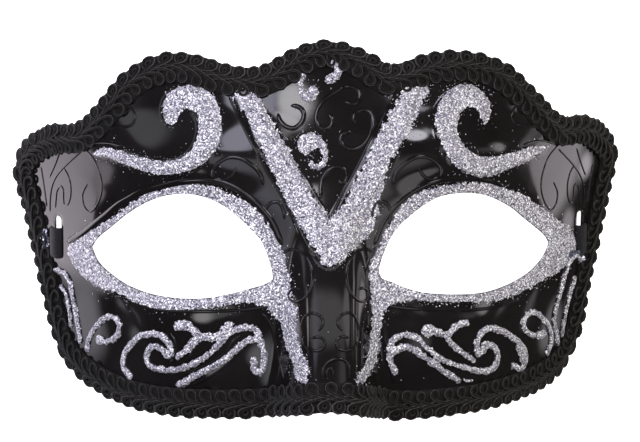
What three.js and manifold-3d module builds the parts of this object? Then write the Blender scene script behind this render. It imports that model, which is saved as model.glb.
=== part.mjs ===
// A moulded half mask lying on its back, face up, with its trim and its elastic band.
// Millimetres: X runs across the face, Y up the face, Z out of it, and the floor is Z = 0.
import * as THREE from 'three';
import { mergeVertices } from 'three/addons/utils/BufferGeometryUtils.js';
import Module from 'manifold-3d';

const wasm = await Module();
wasm.setup();

// Face: a sheet bowed from side to side, which meets the floor along both sides
const faceRise = 57;
const halfWidth = 81.4;
const sideFlare = 0.22;
const sideCurve = 2.4;
const bowMiddle = 5;
const bowRate = 0.0032;
const crownStart = 43;
const crownRate = 0.035;
const wall = 1.3;
const frontStep = 3.7;
const backStep = 6;

// Nose: a ridge that grows from the bridge to the lower edge
const noseTop = 14;
const noseLength = 66;
const noseRise = 17;
const noseHalfBridge = 9;
const noseHalfSpread = 8.5;

// Soft swellings and hollows, the same on both sides
const socket = { x: 37, y: -4, halfWide: 34, halfHigh: 22, rise: -3.5 };
const browSwell = { x: 36, y: 22, halfWide: 34, halfHigh: 14, rise: 2.5 };
const cheekSwell = { x: 40, y: -33, halfWide: 30, halfHigh: 15, rise: 2 };

// Middle of the trim, clockwise from the peak of the crown
const trimRoute = [
  [0, 48.3], [6, 47], [11, 44.4], [16.5, 41.2], [22, 42], [28.5, 44.2], [36.5, 45.2], [44, 44.4],
  [50.2, 41.8], [55.8, 37.5], [61.4, 32.2], [67.6, 27.8], [75.2, 28.4], [81, 26], [84.4, 21.8],
  [83.7, 17], [81.7, 8], [78.9, -5], [76.1, -18], [73.6, -29.5], [70.8, -36], [66.4, -40.2],
  [58.8, -43.4], [46.6, -46.4], [33.4, -47.8], [20.6, -48.2], [10.5, -46.8], [0, -45.2],
  [-9, -46.2], [-20, -47.4], [-30, -47.7], [-41.3, -47.5], [-51.6, -46.2], [-60.2, -43.2],
  [-66.8, -39.2], [-71.4, -34.2], [-73.8, -27.5], [-76.1, -18], [-78.9, -5], [-81.7, 8],
  [-83.8, 16.6], [-83.3, 20.8], [-80, 24.2], [-74.8, 26.2], [-68.6, 26.2], [-63.6, 29.4],
  [-58.6, 35], [-53.8, 40.2], [-47.4, 44], [-40.8, 45], [-35, 43.9], [-29.5, 41.9], [-24.4, 40.8],
  [-17.6, 40.8], [-11.4, 43.7], [-6, 46.8],
];
const loopPitch = 4.1;
const trimHalfWidth = 4.5;
const trimScallop = 0.8;
const trimThickness = 2.2;
const trimGap = 0.6;
const shellOverlap = 2.8;

// Eye openings, from the outer corner over to the inner corner and back under
const leftEye = {
  over: [
    [-64.9, -3.4], [-59.7, 3.1], [-53.8, 7.6], [-46, 10], [-39.2, 10.5], [-31.6, 9], [-24.8, 5.7],
    [-19.4, -0.6], [-16.7, -6.1], [-14.9, -13.3],
  ],
  under: [
    [-14.9, -13.3], [-18.3, -15.2], [-23.7, -16.8], [-33.8, -18.5], [-42.8, -17.8], [-51.7, -15.4],
    [-58.7, -11.8], [-63.2, -7.3], [-64.9, -3.4],
  ],
};
const rightEye = {
  over: [
    [64.7, -4], [59.7, 0.8], [53, 5.9], [45.7, 9.2], [38.3, 10.1], [27.9, 7.6], [20.9, 2.7],
    [17, -3], [14.7, -8.5], [13.6, -12.6],
  ],
  under: [
    [13.6, -12.6], [17.5, -15.3], [25.4, -17.1], [36.1, -18.1], [45.9, -16.9], [54.6, -13.7],
    [61.2, -9], [64.7, -4],
  ],
};

// Strap slots, one through each wing
const slotCentre = [74.4, -2.3];
const slotSize = [4, 12.7];

// Raised work on the face
const veeOuter = [[26.6, 37], [19.9, 22], [14.3, 12.2], [8.6, 1], [3.6, -8.4], [0, -11]];
const veeInner = [[18.2, 35.6], [12.6, 24.6], [6, 14], [0, 3]];
const browScroll = [
  [63.5, 21.6], [57.5, 22.8], [51.5, 20.6], [45.5, 19.4], [40, 20.6], [36.8, 24], [35.9, 29.4],
  [38.6, 33], [41.6, 31.2], [43.6, 29], [45.4, 32.6], [44.6, 37], [40.4, 39.8], [35.4, 39.2],
  [31, 35.6], [29.4, 30], [30.4, 23.4], [34, 18], [39.8, 15.2], [46.8, 15], [53.4, 17.4], [58.6, 20],
];
const raisedHeight = 0.7;
const eyeLine = [[68, 0.5], [57.6, 8.3], [50, 11.7], [40.2, 13.7], [30.3, 13.3], [22.4, 9.6], [16, 3.4], [12.6, -4]];
const noseCrease = [[11.6, -12], [12.6, -20], [14, -28], [13.4, -34], [12.6, -38]];
const beadHalfWidth = 0.7;
const beadHeight = 0.7;
const beadFoot = 0.6;
const beadStep = 7;

// Elastic band, from the front of one wing through both slots to the front of the other
const bandWidth = 9.2;
const bandThickness = 1;
const bandRow = -3.75;
const bandLieUp = bandWidth / 2 + 0.15;
const bandInside = [
  [-71.2, -3.2, 7.9], [-69.2, -2.2, 6.6], [-68.3, 1.6, 5.6], [-67.9, 6.4, 5], [-66.2, 13.6, bandLieUp],
  [-60.5, 22.6, bandLieUp], [-52, 30.8, bandLieUp], [-42, 34.6, bandLieUp], [-32, 31.6, bandLieUp],
  [-23, 22.6, bandLieUp], [-15.5, 9.5, bandLieUp], [-9, -3.5, bandLieUp], [0, -9, bandLieUp],
  [9, -3, bandLieUp], [14.5, 10, bandLieUp], [21, 23, bandLieUp], [30, 31.8, bandLieUp],
  [39.5, 33.6, bandLieUp], [47.5, 27, bandLieUp], [54, 19.4, bandLieUp], [61, 15.4, bandLieUp],
  [66.4, 9.6, bandLieUp], [68.2, 2.6, 5.4], [69.2, -2, 6.6], [71.2, -3.2, 7.9],
];
const twistStart = 6;
const twistEnd = 19;

// Black plastic, black cord and black elastic
const plastic = new THREE.MeshStandardMaterial({ color: 0x121114, roughness: 0.18, metalness: 0 });
const braidCord = new THREE.MeshStandardMaterial({ color: 0x24221d, roughness: 0.85, metalness: 0 });
const elastic = new THREE.MeshStandardMaterial({ color: 0x17161a, roughness: 0.8, metalness: 0 });

// A mound that is 1 at its centre and falls softly to 0 at its oval rim, on either side
function mound(x, y, spot) {
  const across = (Math.abs(x) - spot.x) / spot.halfWide;
  const along = (y - spot.y) / spot.halfHigh;
  const inside = Math.max(0, 1 - across * across - along * along);
  return spot.rise * inside * inside;
}

function noseHeight(x, y) {
  const down = THREE.MathUtils.clamp((noseTop - y) / noseLength, 0, 1.05);
  const across = Math.abs(x) / (noseHalfBridge + noseHalfSpread * down);
  const inside = Math.max(0, 1 - across * across);
  return noseRise * down ** 1.2 * inside ** 1.6;
}

// Height of the front of the face above the floor
function faceHeight(x, y) {
  const middle = faceRise - bowRate * (y - bowMiddle) ** 2;
  const across = Math.sqrt(x * x + 1) / (halfWidth + sideFlare * y);
  const crown = crownRate * Math.max(0, y - crownStart) ** 2;
  const bowed = middle * (1 - across ** sideCurve) - crown;
  const swells = mound(x, y, socket) + mound(x, y, browSwell) + mound(x, y, cheekSwell);
  return bowed + swells + noseHeight(x, y);
}

function faceNormal(x, y) {
  const d = 0.2;
  const slopeX = (faceHeight(x + d, y) - faceHeight(x - d, y)) / (2 * d);
  const slopeY = (faceHeight(x, y + d) - faceHeight(x, y - d)) / (2 * d);
  return new THREE.Vector3(-slopeX, -slopeY, 1).normalize();
}

// The point of the front at X and Y, lifted off it along its normal
function onFace(x, y, lift = 0) {
  const foot = new THREE.Vector3(x, y, faceHeight(x, y));
  return foot.addScaledVector(faceNormal(x, y), lift);
}

function mirrored(points) {
  return points.map(([x, y]) => [-x, y]);
}

// A smooth line through points of the plan, laid on the face
function faceCurve(points, closed = false) {
  const plan = new THREE.CatmullRomCurve3(points.map(([x, y]) => new THREE.Vector3(x, y, 0)), closed, 'centripetal');
  const laid = plan.getPoints(points.length * 8).map((p) => onFace(p.x, p.y));
  if (closed) laid.pop();
  const curve = new THREE.CatmullRomCurve3(laid, closed);
  curve.arcLengthDivisions = laid.length * 6;
  return curve;
}

function toSolid(geometry) {
  geometry.deleteAttribute('normal');
  geometry.deleteAttribute('uv');
  const merged = mergeVertices(geometry, 1e-4);
  return new wasm.Manifold(new wasm.Mesh({
    numProp: 3,
    vertProperties: new Float32Array(merged.attributes.position.array),
    triVerts: new Uint32Array(merged.index.array),
  }));
}

function toGeometry(solid) {
  const { vertProperties, triVerts } = solid.getMesh();
  const geometry = new THREE.BufferGeometry();
  geometry.setAttribute('position', new THREE.BufferAttribute(vertProperties, 3));
  geometry.setIndex(new THREE.BufferAttribute(triVerts, 1));
  geometry.computeVertexNormals();
  return geometry;
}

// A closed skin over rings of equal length: a loop, or a bar with flat ends
function ringSkin(rings, loop) {
  const size = rings[0].length;
  const index = [];
  const spans = loop ? rings.length : rings.length - 1;
  for (let i = 0; i < spans; i++) {
    const here = i * size;
    const next = ((i + 1) % rings.length) * size;
    for (let j = 0; j < size; j++) {
      const k = (j + 1) % size;
      index.push(here + j, next + j, next + k, here + j, next + k, here + k);
    }
  }
  if (!loop) {
    const last = (rings.length - 1) * size;
    for (let j = 1; j < size - 1; j++) {
      index.push(0, j, j + 1, last, last + j + 1, last + j);
    }
  }
  const geometry = new THREE.BufferGeometry().setFromPoints(rings.flat());
  geometry.setIndex(index);
  return geometry;
}

// A block whose top is the face, moved up by lift or in by the wall
function faceBlock(step, lift, inward) {
  const [wide, high, deep] = [190, 118, 120];
  const block = new THREE.BoxGeometry(wide, high, deep, Math.round(wide / step), Math.round(high / step), 1);
  const { position } = block.attributes;
  for (let i = 0; i < position.count; i++) {
    if (position.getZ(i) > 0) {
      const [x, y] = [position.getX(i), position.getY(i)];
      const steepness = 1 / faceNormal(x, y).z;
      position.setZ(i, faceHeight(x, y) + lift - inward * steepness);
    }
  }
  return toSolid(block);
}

// An upright column through the whole face
function column(outline) {
  const shape = new THREE.Shape(outline.map(([x, y]) => new THREE.Vector2(x, y)));
  const geometry = new THREE.ExtrudeGeometry(shape, { depth: 120, bevelEnabled: false, steps: 1 });
  return toSolid(geometry.translate(0, 0, -20));
}

function smoothOutline(points, count, closed = false) {
  const knots = points.map(([x, y]) => new THREE.Vector3(x, y, 0));
  const curve = new THREE.CatmullRomCurve3(knots, closed, 'centripetal');
  return curve.getPoints(count).map((p) => [p.x, p.y]);
}

function eyeOutline({ over, under }) {
  return [...smoothOutline(over, 16).slice(0, -1), ...smoothOutline(under, 12).slice(0, -1)];
}

// Directions at a point of a wing: along it in the plane X = constant, up its slope, and out of it
function wingAxes(side, y) {
  const normal = faceNormal(side * slotCentre[0], y);
  const along = new THREE.Vector3(0, normal.z, -normal.y).normalize();
  const upSlope = along.clone().cross(normal).multiplyScalar(-side);
  return { place: onFace(side * slotCentre[0], y), along, upSlope, normal };
}

// The strap slot: a box that runs square through the wing
function slotCutter(side) {
  const { place, along, upSlope, normal } = wingAxes(side, slotCentre[1]);
  const box = new THREE.BoxGeometry(slotSize[0], slotSize[1], 14);
  const turn = new THREE.Matrix4().makeBasis(upSlope.multiplyScalar(-side), along, normal);
  return toSolid(box.applyMatrix4(turn.setPosition(place)));
}

// A low moulded ridge along a line of the face
function bead(points) {
  const curve = faceCurve(points);
  const count = Math.ceil(curve.getLength() / beadStep);
  const rings = [];
  for (let i = 0; i <= count; i++) {
    const p = curve.getPointAt(i / count);
    const normal = faceNormal(p.x, p.y);
    const side = normal.clone().cross(curve.getTangentAt(i / count)).normalize();
    const left = p.clone().addScaledVector(side, beadHalfWidth).addScaledVector(normal, -beadFoot);
    const right = p.clone().addScaledVector(side, -beadHalfWidth).addScaledVector(normal, -beadFoot);
    rings.push([left, right, p.clone().addScaledVector(normal, beadHeight)]);
  }
  return toSolid(ringSkin(rings, false));
}

// Points, normals and outward directions along the middle of the trim
function trimStations(count) {
  const curve = faceCurve(trimRoute, true);
  return Array.from({ length: count }, (_, i) => {
    const p = curve.getPointAt(i / count);
    const normal = faceNormal(p.x, p.y);
    const outward = normal.clone().cross(curve.getTangentAt(i / count)).normalize();
    return { p, outward };
  });
}

function besideTrim({ p, outward }, across, lift) {
  return onFace(p.x + outward.x * across, p.y + outward.y * across, lift);
}

// The outline of the face at a distance outside or inside the middle of the trim
function outlineBeside(across) {
  return trimStations(120).map((station) => besideTrim(station, across, 0)).map((p) => [p.x, p.y]);
}

// The vee and the brow scrolls, as low flat-topped forms
function raisedForms() {
  const top = faceBlock(frontStep, raisedHeight, 0);
  const scroll = smoothOutline(browScroll, 36, true).slice(0, -1);
  const vee = [...smoothOutline(veeOuter, 10).reverse(), ...smoothOutline(veeInner, 7)];
  const columns = [scroll, mirrored(scroll), vee, mirrored(vee)].map(column);
  const forms = columns.reduce((sum, next) => sum.add(next));
  return top.intersect(forms);
}

function shellGeometry() {
  const lines = [eyeLine, mirrored(eyeLine), noseCrease, mirrored(noseCrease)].map(bead);
  let shell = faceBlock(frontStep, 0, 0).add(raisedForms()).subtract(faceBlock(backStep, 0, wall));
  shell = lines.reduce((sum, line) => sum.add(line), shell);
  const openings = [column(eyeOutline(leftEye)), column(eyeOutline(rightEye)), slotCutter(-1), slotCutter(1)];
  shell = openings.reduce((sum, opening) => sum.subtract(opening), shell);
  const offFloor = new THREE.BoxGeometry(220, 160, 100).translate(0, 0, 50 + trimGap);
  return toGeometry(shell.intersect(column(outlineBeside(shellOverlap))).intersect(toSolid(offFloor)));
}

// The trim: a scalloped band, ribbed across, cut flat where it stands on the floor
function trimGeometry() {
  const length = faceCurve(trimRoute, true).getLength();
  const count = 2 * Math.round(length / loopPitch);
  const rings = trimStations(count).map((station, i) => {
    const reach = trimHalfWidth - (i % 2) * trimScallop;
    const top = trimThickness - (i % 2) * 0.4;
    return [
      besideTrim(station, 3.6, trimGap),
      besideTrim(station, -3.6, trimGap),
      besideTrim(station, -reach, 1.4),
      besideTrim(station, 0, top),
      besideTrim(station, reach, 1.4),
    ];
  });
  const above = new THREE.BoxGeometry(220, 160, 100).translate(0, 0, 50);
  return toGeometry(toSolid(ringSkin(rings, true)).intersect(toSolid(above)));
}

// The band's turn over the outer lip of a slot, from the front of the wing to its inside
function bandAtSlot(side) {
  const { place, upSlope, normal } = wingAxes(side, bandRow);
  const steps = [[-3.1, 0.9], [-2, 1], [-0.9, 0.5], [-0.3, -0.9], [-0.2, -2.4]];
  return steps.map(([along, lift]) => place.clone().addScaledVector(upSlope, along).addScaledVector(normal, lift));
}

// The band lies across the slots and turns on its edge to run along the floor
function bandGeometry() {
  const inside = bandInside.map(([x, y, z]) => new THREE.Vector3(x, y, z));
  const curve = new THREE.CatmullRomCurve3([...bandAtSlot(-1), ...inside, ...bandAtSlot(1).reverse()]);
  curve.arcLengthDivisions = 1200;
  const length = curve.getLength();
  const count = 72;
  const rings = [];
  for (let i = 0; i <= count; i++) {
    const even = i / count;
    const t = even - 0.8 * Math.sin(2 * Math.PI * even) / (2 * Math.PI);
    const p = curve.getPointAt(t);
    const tangent = curve.getTangentAt(t);
    const onEdge = THREE.MathUtils.smoothstep(Math.min(t, 1 - t) * length, twistStart, twistEnd);
    const across = wingAxes(1, bandRow).along.lerp(new THREE.Vector3(0, 0, 1), onEdge);
    across.addScaledVector(tangent, -across.dot(tangent)).setLength(bandWidth / 2);
    const through = tangent.clone().cross(across).setLength(bandThickness / 2);
    rings.push([[1, 1], [1, -1], [-1, -1], [-1, 1]].map(([a, b]) =>
      p.clone().addScaledVector(across, a).addScaledVector(through, b)));
  }
  return ringSkin(rings, false);
}

function named(name, geometry, material) {
  const mesh = new THREE.Mesh(geometry, material);
  mesh.name = name;
  return mesh;
}

const group = new THREE.Group();
group.add(named('mask_shell', shellGeometry(), plastic));
group.add(named('braid_trim', trimGeometry(), braidCord));
group.add(named('elastic_strap', bandGeometry(), elastic));

export default group;
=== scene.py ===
# A glossy black half mask with glitter scrollwork, a looped braid edge and an elastic band,
# lying face up on a white table. Shapes are worked out in millimetres and stored in metres.
import math
import bpy
import numpy as np
from mathutils import Matrix, Vector


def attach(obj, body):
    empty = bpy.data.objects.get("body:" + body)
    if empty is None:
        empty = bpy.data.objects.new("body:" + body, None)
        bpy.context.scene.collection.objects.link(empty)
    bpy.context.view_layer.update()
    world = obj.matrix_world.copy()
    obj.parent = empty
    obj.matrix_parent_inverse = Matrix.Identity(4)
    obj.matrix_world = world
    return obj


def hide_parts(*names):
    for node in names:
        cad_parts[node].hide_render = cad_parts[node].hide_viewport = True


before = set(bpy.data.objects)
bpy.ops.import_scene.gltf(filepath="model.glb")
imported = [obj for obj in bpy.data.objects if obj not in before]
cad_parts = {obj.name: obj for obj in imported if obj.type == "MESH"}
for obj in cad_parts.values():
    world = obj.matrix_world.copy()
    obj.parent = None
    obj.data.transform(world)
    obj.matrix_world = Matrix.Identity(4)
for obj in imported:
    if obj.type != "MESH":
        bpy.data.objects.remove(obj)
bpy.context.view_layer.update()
mm = 0.001
scene = bpy.context.scene
scene.view_settings.view_transform = "Standard"


# camera
view = {
    "place": (-54.1, 2.55, 950.0),
    "aim": (1.0, 2.55, 0.0),
    "lens": 184.4,
    "roll": -0.005,
    "clip": (0.01, 30),
}


def makeCamera():
    # looks from place to aim, the image's up along +Y, then turned by roll about the line of sight
    data = bpy.data.cameras.new("camera")
    data.lens = view["lens"]
    data.clip_start, data.clip_end = view["clip"]
    cam = bpy.data.objects.new("camera", data)
    scene.collection.objects.link(cam)
    back = (Vector(view["place"]) - Vector(view["aim"])).normalized()
    right = Vector((0, 1, 0)).cross(back).normalized()
    turn = Matrix((right, back.cross(right), back)).transposed() @ Matrix.Rotation(view["roll"], 3, "Z")
    cam.matrix_world = Matrix.Translation(Vector(view["place"]) * mm) @ turn.to_4x4()
    scene.camera = cam


makeCamera()


# the face, as in the part's source but with a flatter ridge and steeper sides to the nose
face = {
    "rise": 57, "halfWidth": 81.4, "sideFlare": 0.22, "sideCurve": 2.4,
    "bowMiddle": 5, "bowRate": 0.0032, "crownStart": 43, "crownRate": 0.035,
    "noseTop": 14, "noseLength": 66, "noseRise": 17, "noseHalfBridge": 9, "noseHalfSpread": 8.5,
    "noseFlat": 3.4, "noseSide": 2.6, "noseGrow": 1.2, "noseEnd": 1.05, "slopeStep": 0.2,
}
swells = [(37, -4, 34, 22, -3.5), (36, 22, 34, 14, 2.5), (40, -33, 30, 15, 2)]  # x, y, half sizes, rise


def faceHeight(x, y):
    # a sheet bowed from side to side, less the droop of the crown, plus soft ovals and the nose
    middle = face["rise"] - face["bowRate"] * (y - face["bowMiddle"]) ** 2
    across = np.sqrt(x * x + 1) / (face["halfWidth"] + face["sideFlare"] * y)
    height = middle * (1 - across ** face["sideCurve"])
    height = height - face["crownRate"] * np.maximum(0, y - face["crownStart"]) ** 2
    for spotX, spotY, wide, high, rise in swells:
        inside = np.maximum(0, 1 - ((np.abs(x) - spotX) / wide) ** 2 - ((y - spotY) / high) ** 2)
        height = height + rise * inside ** 2
    down = np.clip((face["noseTop"] - y) / face["noseLength"], 0, face["noseEnd"])
    side = np.abs(x) / (face["noseHalfBridge"] + face["noseHalfSpread"] * down)
    ridge = np.maximum(0, 1 - side ** face["noseFlat"]) ** face["noseSide"]
    return height + face["noseRise"] * down ** face["noseGrow"] * ridge


def unit(v):
    return v / np.linalg.norm(v, axis=-1, keepdims=True)


def faceNormal(x, y):
    # square to the two slopes of the face
    d = face["slopeStep"]
    slopeX = (faceHeight(x + d, y) - faceHeight(x - d, y)) / (2 * d)
    slopeY = (faceHeight(x, y + d) - faceHeight(x, y - d)) / (2 * d)
    return unit(np.stack([-slopeX, -slopeY, np.ones_like(slopeX)], -1))


def onFace(x, y, lift=0.0):
    # the point of the face at x and y, moved out along its normal
    x, y = np.asarray(x, float), np.asarray(y, float)
    foot = np.stack([x, y, faceHeight(x, y)], -1)
    return foot + faceNormal(x, y) * np.asarray(lift, float)[..., None]


def softStep(low, high, value):
    t = np.clip((value - low) / (high - low), 0, 1)
    return t * t * (3 - 2 * t)


# lines and surfaces
def smoothLine(points, count, closed=False):
    # a Catmull-Rom curve with centripetal spacing, at even steps of its parameter
    p = np.array(points, float)
    spans = len(p) if closed else len(p) - 1
    if closed:
        knots = np.vstack([p[-1], p, p[0], p[1]])
    else:
        knots = np.vstack([2 * p[0] - p[1], p, 2 * p[-1] - p[-2]])
    t = np.linspace(0, spans, count, endpoint=not closed)
    i = np.minimum(t.astype(int), spans - 1)
    w = (t - i)[:, None]
    a, b, c, d = (knots[i + k] for k in range(4))
    ab, bc, cd = (
        np.maximum(np.sum((v - u) ** 2, axis=1, keepdims=True) ** 0.25, 1e-4)
        for u, v in ((a, b), (b, c), (c, d))
    )
    leave = ((b - a) / ab - (c - a) / (ab + bc) + (c - b) / bc) * bc
    meet = ((c - b) / bc - (d - b) / (bc + cd) + (d - c) / cd) * bc
    return b + leave * w + (3 * (c - b) - 2 * leave - meet) * w**2 + (2 * (b - c) + leave + meet) * w**3


def runOf(line):
    # the length from the start to each point
    return np.r_[0, np.cumsum(np.linalg.norm(np.diff(line, axis=0), axis=1))]


def evenLine(line, count, closed=False):
    # the same line with its points at even distances
    if closed:
        line = np.vstack([line, line[:1]])
    run = runOf(line)
    at = np.linspace(0, run[-1], count, endpoint=not closed)
    return np.column_stack([np.interp(at, run, line[:, k]) for k in range(line.shape[1])])


def mirrored(points):
    # the same points of the plan on the other side
    return [(-p[0], p[1]) for p in points]


def linePoints(points, step):
    # a smooth line of the plan, with a point about every step
    dense = smoothLine(points, len(points) * 12)
    return evenLine(dense, max(3, int(round(runOf(dense)[-1] / step))))


def ringWalls(rings, size, closed):
    # quads between each ring of points and the next, and round from the last to the first if closed
    i, j = np.meshgrid(np.arange(rings if closed else rings - 1), np.arange(size), indexing="ij")
    here, there, k = i * size, (i + 1) % rings * size, (j + 1) % size
    return np.stack([here + j, there + j, there + k, here + k], -1).reshape(-1, 4)


def sweep(centres, side, up, profile, closed=False, scale=None):
    # the profile's across and up offsets, carried along the centres; the ends are capped
    rings, size = len(centres), len(profile)
    grow = np.ones(rings) if scale is None else scale
    across = side[:, None, :] * profile[None, :, 0, None]
    rise = up[:, None, :] * profile[None, :, 1, None]
    points = (centres[:, None, :] + (across + rise) * grow[:, None, None]).reshape(-1, 3)
    faces = [ringWalls(rings, size, closed)]
    if not closed:
        first = np.arange(size)
        faces.append(np.stack([first, first[::-1] + (rings - 1) * size]))
    return points, faces


barFoot = {"wide": 0.4, "deep": 0.4}  # half width as a part of the bar's, millimetres into the face


def bar(plan, width, height, arcs, lift=0.0):
    # what sweep needs for a half-round bar along a line of the plan, its foot sunk into the face
    rings = onFace(plan[:, 0], plan[:, 1], lift)
    up = faceNormal(plan[:, 0], plan[:, 1])
    side = unit(np.cross(up, np.gradient(rings, axis=0)))
    turn, foot, deep = np.linspace(0, np.pi, arcs), width * barFoot["wide"], barFoot["deep"]
    over = np.column_stack([np.cos(turn) * width / 2, np.sin(turn) * height])
    return rings, side, up, np.vstack([over, [(-foot, -deep), (foot, -deep)]])


def volumeOf(points, faces):
    # each face as a fan of triangles, summed as pyramids from the origin
    total = 0.0
    for g in faces:
        for k in range(1, g.shape[1] - 1):
            a, b, c = points[g[:, 0]], points[g[:, k]], points[g[:, k + 1]]
            total += np.einsum("ij,ij->", a, np.cross(b, c)) / 6
    return total


def turnedOut(points, faces):
    # the same surface with its faces outward
    return points, faces if volumeOf(points, faces) > 0 else [g[:, ::-1] for g in faces]


def joined(parts):
    # closed surfaces as one list of points and one of faces
    points, faces, base = [], [], 0
    for part in parts:
        p, groups = turnedOut(*part)
        points.append(p)
        faces += [g + base for g in groups]
        base += len(p)
    return np.vstack(points), faces


def addPiece(name, points, faces, material, replaced=(), smooth=True, uv=None):
    # a mesh from point and face arrays, its faces outward, that rides on the one body
    points, faces = turnedOut(points, faces)
    corners = np.concatenate([g.ravel() for g in faces])
    counts = np.concatenate([np.full(len(g), g.shape[1]) for g in faces])
    mesh = bpy.data.meshes.new(name)
    mesh.vertices.add(len(points))
    mesh.vertices.foreach_set("co", (points * mm).ravel())
    mesh.loops.add(len(corners))
    mesh.loops.foreach_set("vertex_index", corners.astype(np.int32))
    mesh.polygons.add(len(counts))
    mesh.polygons.foreach_set("loop_start", (np.cumsum(counts) - counts).astype(np.int32))
    mesh.update(calc_edges=True)
    mesh.polygons.foreach_set("use_smooth", np.full(len(counts), smooth))
    if uv is not None:
        layer = mesh.uv_layers.new(name="UVMap")
        layer.data.foreach_set("uv", uv[corners].ravel())
    mesh.update()
    piece = bpy.data.objects.new(name, mesh)
    scene.collection.objects.link(piece)
    piece.data.materials.append(material)
    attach(piece, "root")
    if replaced:
        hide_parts(*replaced)
    print(name, "faces", len(counts), "triangles", int((counts - 2).sum()))
    return piece


squareCorners = np.array([(-1, -1), (1, -1), (1, 1), (-1, 1)], float)


def addSquare(name, points, material):
    # one flat face of the stage; its UV map runs from -1 to 1 both ways
    mesh = bpy.data.meshes.new(name)
    mesh.from_pydata((points * mm).tolist(), [], [(0, 1, 2, 3)])
    mesh.uv_layers.new(name="UVMap").data.foreach_set("uv", squareCorners.ravel())
    mesh.materials.append(material)
    square = bpy.data.objects.new(name, mesh)
    scene.collection.objects.link(square)
    return square


# materials
class Recipe:
    # a material's nodes, added one by one and joined by name; a grey is given as one number
    def __init__(self, name):
        self.material = bpy.data.materials.new(name)
        self.material.use_nodes = True
        self.nodes = self.material.node_tree.nodes
        self.links = self.material.node_tree.links
        self.shader = self.nodes["Principled BSDF"]

    def add(self, kind, output, inputs=None, **settings):
        # a node's output; each input is a link from another node's output or a plain value
        node = self.nodes.new("ShaderNode" + kind)
        for key, value in settings.items():
            setattr(node, key, value)
        for key, value in (inputs or {}).items():
            if isinstance(value, bpy.types.NodeSocket):
                self.links.new(value, node.inputs[key])
            else:
                node.inputs[key].default_value = value
        return node.outputs[output]

    def spot(self):
        return self.add("TexCoord", "Object")

    def noise(self, scale, detail):
        return self.add("TexNoise", "Fac", {"Vector": self.spot(), "Scale": scale, "Detail": detail})

    def cells(self, scale):
        # one random colour for each small cell
        return self.add("TexVoronoi", "Color", {"Vector": self.spot(), "Scale": scale}, feature="F1")

    def math(self, operation, a, b=0.5):
        return self.add("Math", 0, {0: a, 1: b}, operation=operation)

    def vector(self, operation, a, b):
        return self.add("VectorMath", "Vector", {0: a, 1: b}, operation=operation)

    def wave(self, length, pitch):
        # a sine of a length in millimetres
        return self.math("SINE", self.math("MULTIPLY", length, 2 * math.pi / pitch))

    def ramp(self, source, stops):
        node = self.nodes.new("ShaderNodeValToRGB")
        self.links.new(source, node.inputs["Fac"])
        band = node.color_ramp
        while len(band.elements) < len(stops):
            band.elements.new(0.5)
        for element, (place, colour) in zip(band.elements, stops):
            element.position = place
            element.color = (*colour, 1) if isinstance(colour, tuple) else (colour, colour, colour, 1)
        return node.outputs["Color"]

    def bump(self, height, strength, distance):
        return self.add("Bump", "Normal", {"Height": height, "Strength": strength, "Distance": distance})

    def made(self, joins, **values):
        # the material, once outputs and plain values are on its shader
        for key, source in joins.items():
            self.links.new(source, self.shader.inputs[key])
        for key, value in values.items():
            self.shader.inputs[key.replace("_", " ")].default_value = value
        return self.material


def plasticMaterial():
    # near-black gloss with a faint uneven skin and a few dull patches
    r = Recipe("blackPlastic")
    blotch = r.noise(60, 3)
    skin = r.noise(240, 2)
    colour = r.ramp(blotch, [(0.3, (0.0042, 0.0037, 0.0036)), (0.7, (0.0074, 0.0066, 0.0066))])
    gloss = r.add("MapRange", "Result", {"Value": blotch, "To Min": 0.05, "To Max": 0.12})
    return r.made({"Base Color": colour, "Roughness": gloss, "Normal": r.bump(skin, 0.2, 0.00003)}, IOR=1.5)


def glitterMaterial():
    # one tone, one gloss and one tilt for each small cell, so that flakes differ from their neighbours
    r = Recipe("silverGlitter")
    flake = r.cells(3300)
    tone = r.ramp(r.add("SeparateColor", "Red", {"Color": flake}), [
        (0.0, (0.03, 0.03, 0.04)), (0.15, (0.13, 0.125, 0.155)), (0.6, (0.355, 0.345, 0.385)),
        (0.76, (0.56, 0.55, 0.6)), (0.87, 1.0),
    ])
    green = r.add("SeparateColor", "Green", {"Color": flake})
    gloss = r.add("MapRange", "Result", {"Value": green, "To Min": 0.22, "To Max": 0.5})
    lean = r.vector("SUBTRACT", flake, (0.5, 0.5, 0.5))
    tilt = r.add("VectorMath", "Vector", {0: lean, "Scale": 0.9}, operation="SCALE")
    mixed = r.vector("ADD", r.add("NewGeometry", "Normal"), tilt)
    normal = r.add("VectorMath", "Vector", {0: mixed}, operation="NORMALIZE")
    return r.made({"Base Color": tone, "Roughness": gloss, "Normal": normal}, Metallic=0.4)


def glueMaterial():
    # cloudy bluish glue with caught glitter and a rusty fleck or two
    r = Recipe("paleGlue")
    fleck = r.cells(1500)
    red, green = (r.add("SeparateColor", tone, {"Color": fleck}) for tone in ("Red", "Green"))
    milk = r.ramp(r.noise(420, 4), [
        (0.35, (0.01, 0.01, 0.014)), (0.55, (0.07, 0.075, 0.11)), (0.7, (0.32, 0.32, 0.4)),
    ])
    spark = r.ramp(red, [(0.0, 0.0), (0.8, 0.0), (0.84, 1.0)])
    pale, rust = (0.75, 0.76, 0.85), (0.35, 0.12, 0.03)
    warm = r.ramp(green, [(0.0, pale), (0.86, pale), (0.9, rust)])
    mixed = r.add("MixRGB", "Color", {"Fac": spark, "Color1": milk, "Color2": warm})
    return r.made({"Base Color": mixed}, Roughness=0.25)


def alongAndAcross(r):
    # the UV map's two parts, in millimetres along and across
    uv = r.add("UVMap", "UV")
    return [r.add("SeparateXYZ", part, {"Vector": uv}) for part in ("X", "Y")]


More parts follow.
